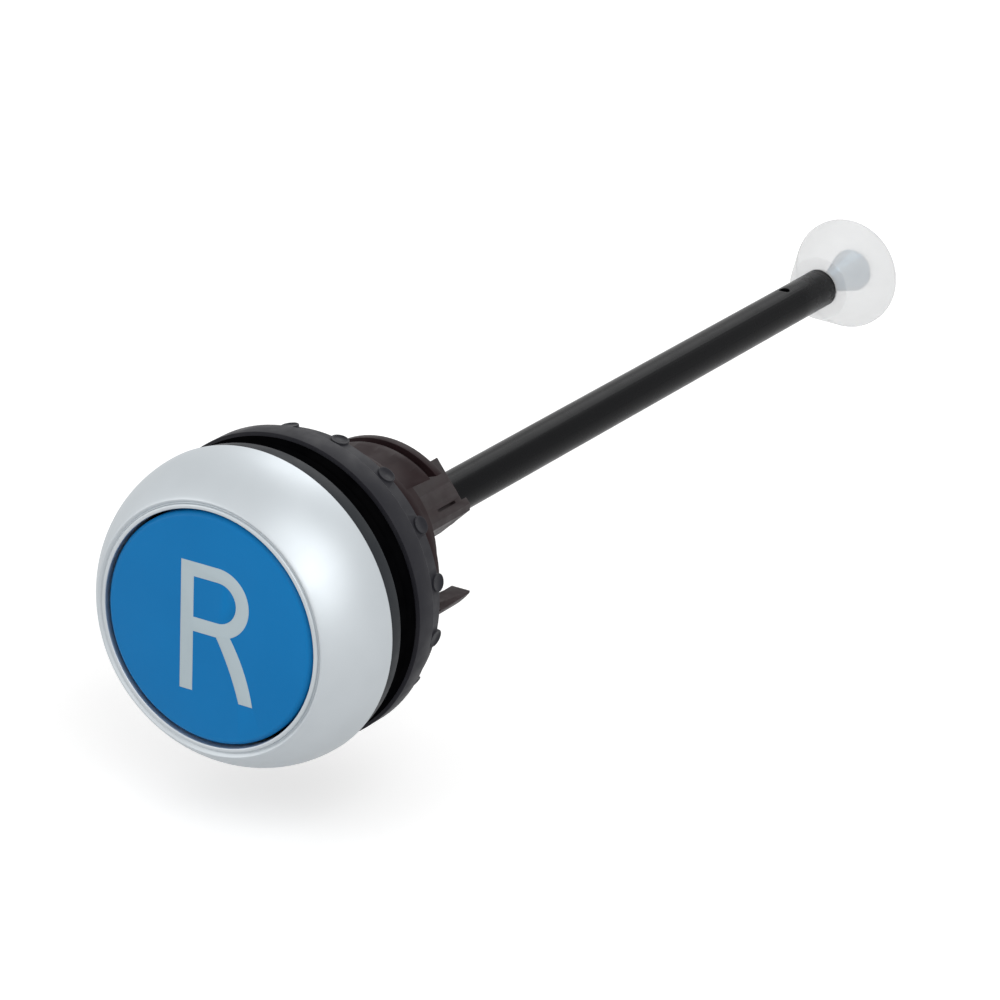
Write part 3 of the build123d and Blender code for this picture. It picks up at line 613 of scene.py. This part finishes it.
def wind(skin, face, rise_mm, turns):
    """Winds a face about the axis, rising by rise_mm at each turn. Both ends stay closed."""
    steps = round(WINDING_STEPS * turns)
    bmesh.ops.spin(skin, geom=[face], cent=CENTRE, axis=AXIS, dvec=(0, rise_mm * MM / WINDING_STEPS, 0),
                   angle=2 * pi * steps / WINDING_STEPS, steps=steps, use_merge=False)
    clean(skin)


# %% The thread's ridge
THREAD_PITCH = 1.5
THREAD_DEPTH = 0.38
THREAD_CREST = 0.28
RIDGE_SINK = 0.1
RIDGE_STOP = 0.2
GUIDE_FLANGE_SETBACK = 0.2

barrel_radius = reach("plunger_guide")[0] + GUIDE_FLANGE_SETBACK


def thread_ridge(front, length):
    """The ridge along a stretch of the barrel. Its root sinks a little into the core."""
    turns = length / THREAD_PITCH - RIDGE_STOP
    root = barrel_radius - THREAD_DEPTH - RIDGE_SINK
    slope = THREAD_PITCH / 2 - THREAD_CREST
    corners = [(root, front), (barrel_radius, front + slope / 2),
               (barrel_radius, front + slope / 2 + THREAD_CREST), (root, front + slope + THREAD_CREST)]
    skin, points = outline(corners)
    wind(skin, bmesh.ops.contextual_create(skin, geom=points)["faces"][0], THREAD_PITCH, turns)
    return skin


# %% The turned body
NOSE_GAP = 0.6
NOSE_FLOOR = 1.35
COLLAR_ROUND = 0.12
CREST_END = 0.6
CORE_FRONT = 1.2
CORE_END_BEVEL = 0.3
CLIP_GROOVE_FRONT, CLIP_GROOVE_REAR = 4.9, 5.5
CLIP_GROOVE_DEPTH = 0.2
WALL_GAP = 0.05
FLANGE_BORE = 7.38
FLANGE_THICKNESS = 1.5
RING_GROOVE_DEPTH = 0.5

seal_radius, seal_front, seal_rear = reach("panel_seal")
wiper_radius, _, wiper_rear = reach("wiper_seal")
_, ring_front, ring_rear = reach("guide_snap_ring")


def turned_body():
    """The moulding without thread and key: its outside from the nose to the rear, then its bore."""
    nose_bore = plate_radius + NOSE_GAP
    nose_radius = bezel_radius - BEZEL_WALL - WALL_GAP
    core = barrel_radius - THREAD_DEPTH
    groove = core - CLIP_GROOVE_DEPTH
    bore = wiper_radius + WALL_GAP
    ring_groove = bore + RING_GROOVE_DEPTH
    flange_rear = wiper_rear + FLANGE_THICKNESS
    floor = seal_front - NOSE_FLOOR
    nose = [(nose_bore, nose_front), (nose_radius - NOSE_BEVEL, nose_front),
            (nose_radius, nose_front + NOSE_BEVEL), (nose_radius, bezel_rear)]
    collar = [(collar_radius, bezel_rear), (collar_radius, seal_front)]
    barrel = [(barrel_radius, seal_front), (barrel_radius, CREST_END), (core, CORE_FRONT),
              (core, CLIP_GROOVE_FRONT), (groove, CLIP_GROOVE_FRONT), (groove, CLIP_GROOVE_REAR),
              (core, CLIP_GROOVE_REAR), (core, barrel_end - CORE_END_BEVEL),
              (core - CORE_END_BEVEL, barrel_end)]
    inside = [(bore, barrel_end), (bore, ring_rear), (ring_groove, ring_rear), (ring_groove, ring_front),
              (bore, ring_front), (bore, flange_rear), (FLANGE_BORE, flange_rear),
              (FLANGE_BORE, wiper_rear), (bore, wiper_rear), (bore, floor), (nose_bore, floor)]
    skin, points = outline(nose + collar + barrel + inside)
    soften(skin, points[len(nose):len(nose + collar)], COLLAR_ROUND)
    return turn(skin)


# %% Collar and barrel
THREAD_STRETCHES = ((1.3, 3.3), (5.8, 2.4))
KEY_SIZE = (3.0, 1.5, 3.8)
KEY_PLACE = (0, -0.9, 11.25)


def join(skin, other):
    """Adds another skin to this one."""
    carrier = bpy.data.meshes.new("carrier")
    other.to_mesh(carrier)
    other.free()
    skin.from_mesh(carrier)
    bpy.data.meshes.remove(carrier)


def key_block():
    """A block on the barrel, where its key is. The seal hides it."""
    key = bmesh.new()
    bmesh.ops.create_cube(key, size=1)
    bmesh.ops.scale(key, verts=key.verts, vec=[side * MM for side in KEY_SIZE])
    bmesh.ops.translate(key, verts=key.verts, vec=[way * MM for way in KEY_PLACE])
    return key


def collar_and_barrel():
    skin = turned_body()
    for front, length in THREAD_STRETCHES:
        join(skin, thread_ridge(front, length))
    join(skin, key_block())
    return skin


piece("collar_and_barrel", collar_and_barrel(), collar_plastic, "housing",
      "operator_body")

# %% [markdown]
# ## The black seal
#
# A flat rubber ring that the nut squeezes against the panel. Moulded rubber has round edges and,
# here, a shallow groove round its middle, where it gives way when it is squeezed.

# %% Black seal
SEAL_GROOVE_DEPTH = 0.3
SEAL_GROOVE_WIDTH = 0.5
SEAL_ROUND = 0.25
SEAL_GROOVE_ROUND = 0.08


def black_seal():
    middle_y = (seal_front + seal_rear) / 2
    half = SEAL_GROOVE_WIDTH / 2
    bore = barrel_radius + WALL_GAP
    groove = [(seal_radius, middle_y - half), (seal_radius - SEAL_GROOVE_DEPTH, middle_y),
              (seal_radius, middle_y + half)]
    skin, points = outline([(bore, seal_front), (seal_radius, seal_front), *groove,
                            (seal_radius, seal_rear), (bore, seal_rear)])
    front_edge, *groove_points, rear_edge = points[1:-1]
    soften(skin, [front_edge, rear_edge], SEAL_ROUND)
    soften(skin, groove_points, SEAL_GROOVE_ROUND)
    return turn(skin)


piece("black_seal", black_seal(), seal_rubber, "housing", "panel_seal")

# %% [markdown]
# ## The lobed nut
#
# The nut is turned round on the barrel by hand or with a ring spanner, which grips sixteen round
# lobes at its rear. The solid has them, so its mesh is copied. Each lobe's outer face is one flat
# disc. Inset pushes that disc in and leaves a thin raised rim, as on the moulded nut.

# %% Lobed nut
NUT_ROUND = 0.07
DISC_LEAST_CORNERS = 10
DISC_FACING = 0.999
LOBE_RIM = 0.15
LOBE_SINK = 0.04
LOBE_SLOPE = 0.04


def lobe_discs(skin):
    """The flat round faces that look straight out from the axis."""
    found = []
    for face in skin.faces:
        centre = face.calc_center_median()
        outward = Vector((centre.x, 0, centre.z)).normalized()
        if len(face.verts) > DISC_LEAST_CORNERS and face.normal.dot(outward) > DISC_FACING:
            found.append(face)
    return found


def lobed_nut():
    skin = skin_of("ring_nut")
    round_edges(skin, sharp_edges(skin), NUT_ROUND)
    discs = lobe_discs(skin)
    print("lobes:", len(discs))
    bmesh.ops.inset_individual(skin, faces=discs, thickness=LOBE_RIM * MM, depth=0)
    bmesh.ops.inset_individual(skin, faces=discs, thickness=LOBE_SLOPE * MM, depth=-LOBE_SINK * MM)
    return skin


piece("lobed_nut", lobed_nut(), nut_plastic, "nut", "ring_nut")

# %% [markdown]
# ## The guide and the rod's grip
#
# Two moulded pieces sit behind the nut. The guide has two arms with windows between them, and
# the grip is a block round the rod, with one ear and a slanted end beside it. Both are cut by
# flat planes at odd angles, so their solids are copied, and only their edges are rounded. The
# grip's edges are rounder, because it is a small part from a simple mould.

# %% Guide and grip
GUIDE_ROUND = 0.06
GRIP_ROUND = 0.10


def edged(node, radius_mm):
    """A copy of a solid's mesh with all its edges rounded."""
    skin = skin_of(node)
    round_edges(skin, sharp_edges(skin), radius_mm)
    return skin


piece("two_arm_guide", edged("plunger_guide", GUIDE_ROUND), guide_plastic, "housing",
      "plunger_guide")
piece("rod_grip", edged("rod_clutch", GRIP_ROUND), clutch_plastic, "button",
      "rod_clutch")

# %% [markdown]
# ## The black rod
#
# A thin tube with a smooth black skin. Its two cross holes take pins, and a copy of the solid
# keeps them. Smooth shading bends the light across a face, and a face with a hole's edge on one
# side and the tube's far end on the other would carry the hole's shading along the whole rod. So
# the copy is cut across on both sides of each hole, and what bends there stays there.

# %% Black rod
HOLE_ROWS = (1.4, 0.8, -0.8, -1.4)
ROD_ROUND = 0.05


def black_rod():
    skin = skin_of("push_rod")
    for pin in ("clutch_pin", "foot_pin"):
        low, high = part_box(pin)
        for row in HOLE_ROWS:
            place = (0, (low.y + high.y) / 2 + row * MM, 0)
            bmesh.ops.bisect_plane(skin, geom=skin.verts[:] + skin.edges[:] + skin.faces[:],
                                   dist=MERGE_DISTANCE, plane_co=place, plane_no=AXIS)
    round_edges(skin, sharp_edges(skin), ROD_ROUND)
    return skin


piece("black_rod", black_rod(), rod_black, "button", "push_rod")

# %% [markdown]
# ## The foot and its stud
#
# The foot is a milky clear cone, moulded round the head of a zinc plated stud, and it pushes the
# device in the panel. It is half clear, so its inner walls matter as much as its outside: its
# outline has the socket of the rod's end and the room for the stud's flared head. Both pieces
# touch the axis, and there the spin leaves many points in one place, which the merge closes.

# %% Foot and stud
FOOT_NECK_RADIUS = 3.55
FOOT_FACE_RADIUS = 4.2
FOOT_CONE_LENGTH = 6.5
FOOT_RIM_BAND = 0.35
STUD_NECK_RADIUS = 1.25
STUD_HEAD_LENGTH = 4.4
STUD_TURN_STEPS = 72
FOOT_NECK_ROUND = 0.15
FOOT_RIM_ROUND = 0.3
FOOT_FACE_ROUND = 0.5
STUD_ROUND = 0.3

foot_radius, foot_front, foot_rear = reach("push_foot")
head_radius, stud_front, stud_rear = reach("foot_stud")
pin_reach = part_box("foot_pin")[1].z / MM
rod_radius, _, rod_rear = reach("push_rod")
head_front = stud_rear - STUD_HEAD_LENGTH


def milky_foot():
    socket = rod_radius + WALL_GAP
    rim_front = foot_front + FOOT_CONE_LENGTH
    outside = [(socket, foot_front), (FOOT_NECK_RADIUS, foot_front), (foot_radius, rim_front),
               (foot_radius, rim_front + FOOT_RIM_BAND), (FOOT_FACE_RADIUS, foot_rear), (0, foot_rear)]
    inside = [(0, stud_rear), (head_radius, stud_rear), (STUD_NECK_RADIUS, head_front),
              (STUD_NECK_RADIUS, rod_rear), (socket, rod_rear)]
    skin, points = outline(outside + inside)
    neck, rim, rim_end, face = points[1:5]
    soften(skin, [rim, rim_end], FOOT_RIM_ROUND)
    soften(skin, [face], FOOT_FACE_ROUND)
    soften(skin, [neck], FOOT_NECK_ROUND)
    return turn(skin)


def zinc_stud():
    shank = pin_reach - WALL_GAP
    corners = [(0, stud_front), (shank, stud_front), (shank, rod_rear), (STUD_NECK_RADIUS, rod_rear),
               (STUD_NECK_RADIUS, head_front), (head_radius, stud_rear), (0, stud_rear)]
    skin, points = outline(corners)
    soften(skin, points[-2:-1], STUD_ROUND)
    return turn(skin, STUD_TURN_STEPS)


piece("milky_foot", milky_foot(), milky_plastic, "button", "push_foot")
piece("zinc_stud", zinc_stud(), zinc, "button", "foot_stud")

# %% [markdown]
# ## The return spring
#
# The spring is hidden inside, and only a section shows it. It is wound like the thread, from a small
# circle instead of a wedge. When the button goes in, the spring gets shorter against its seat. Here it
# rides on the housing and has a mesh of its own.

# %% Return spring
SPRING_WIRE = 0.3
WIRE_CORNERS = 12
SPRING_TURNS = 3.5

spring_outer, spring_front, spring_rear = reach("return_spring")


def coil_spring():
    """Winds the wire's round section, whose middle starts half a wire inside the spring's front."""
    skin = bmesh.new()
    wire = bmesh.ops.create_circle(skin, cap_ends=True, segments=WIRE_CORNERS, radius=SPRING_WIRE * MM)
    first = wire["verts"][0].link_faces[0]
    start = Vector(((spring_outer - SPRING_WIRE) * MM, (spring_front + SPRING_WIRE) * MM, 0))
    bmesh.ops.translate(skin, verts=skin.verts, vec=start)
    length = spring_rear - spring_front - 2 * SPRING_WIRE
    wind(skin, first, length / SPRING_TURNS, SPRING_TURNS)
    return skin


spring = piece("coil_spring", coil_spring(), bright_steel, "housing", "return_spring")
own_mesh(spring)

# %% [markdown]
# ## Solids that stay
#
# A few pieces are hidden or plain: the plunger, the wiper seal, washers, the snap ring and pins.
# Their solids are good enough as they are and only need a finish in their own slot.

# %% Solids that stay
KEPT_SOLIDS = {"plunger": guide_plastic, "wiper_seal": seal_rubber, "seal_washer": bright_steel,
               "spring_washer": bright_steel, "guide_snap_ring": bright_steel,
               "clutch_pin": bright_steel, "foot_pin": rod_black}
for node, finish in KEPT_SOLIDS.items():
    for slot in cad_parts[node].material_slots:
        slot.material = finish
print("kept solids:", len(KEPT_SOLIDS))
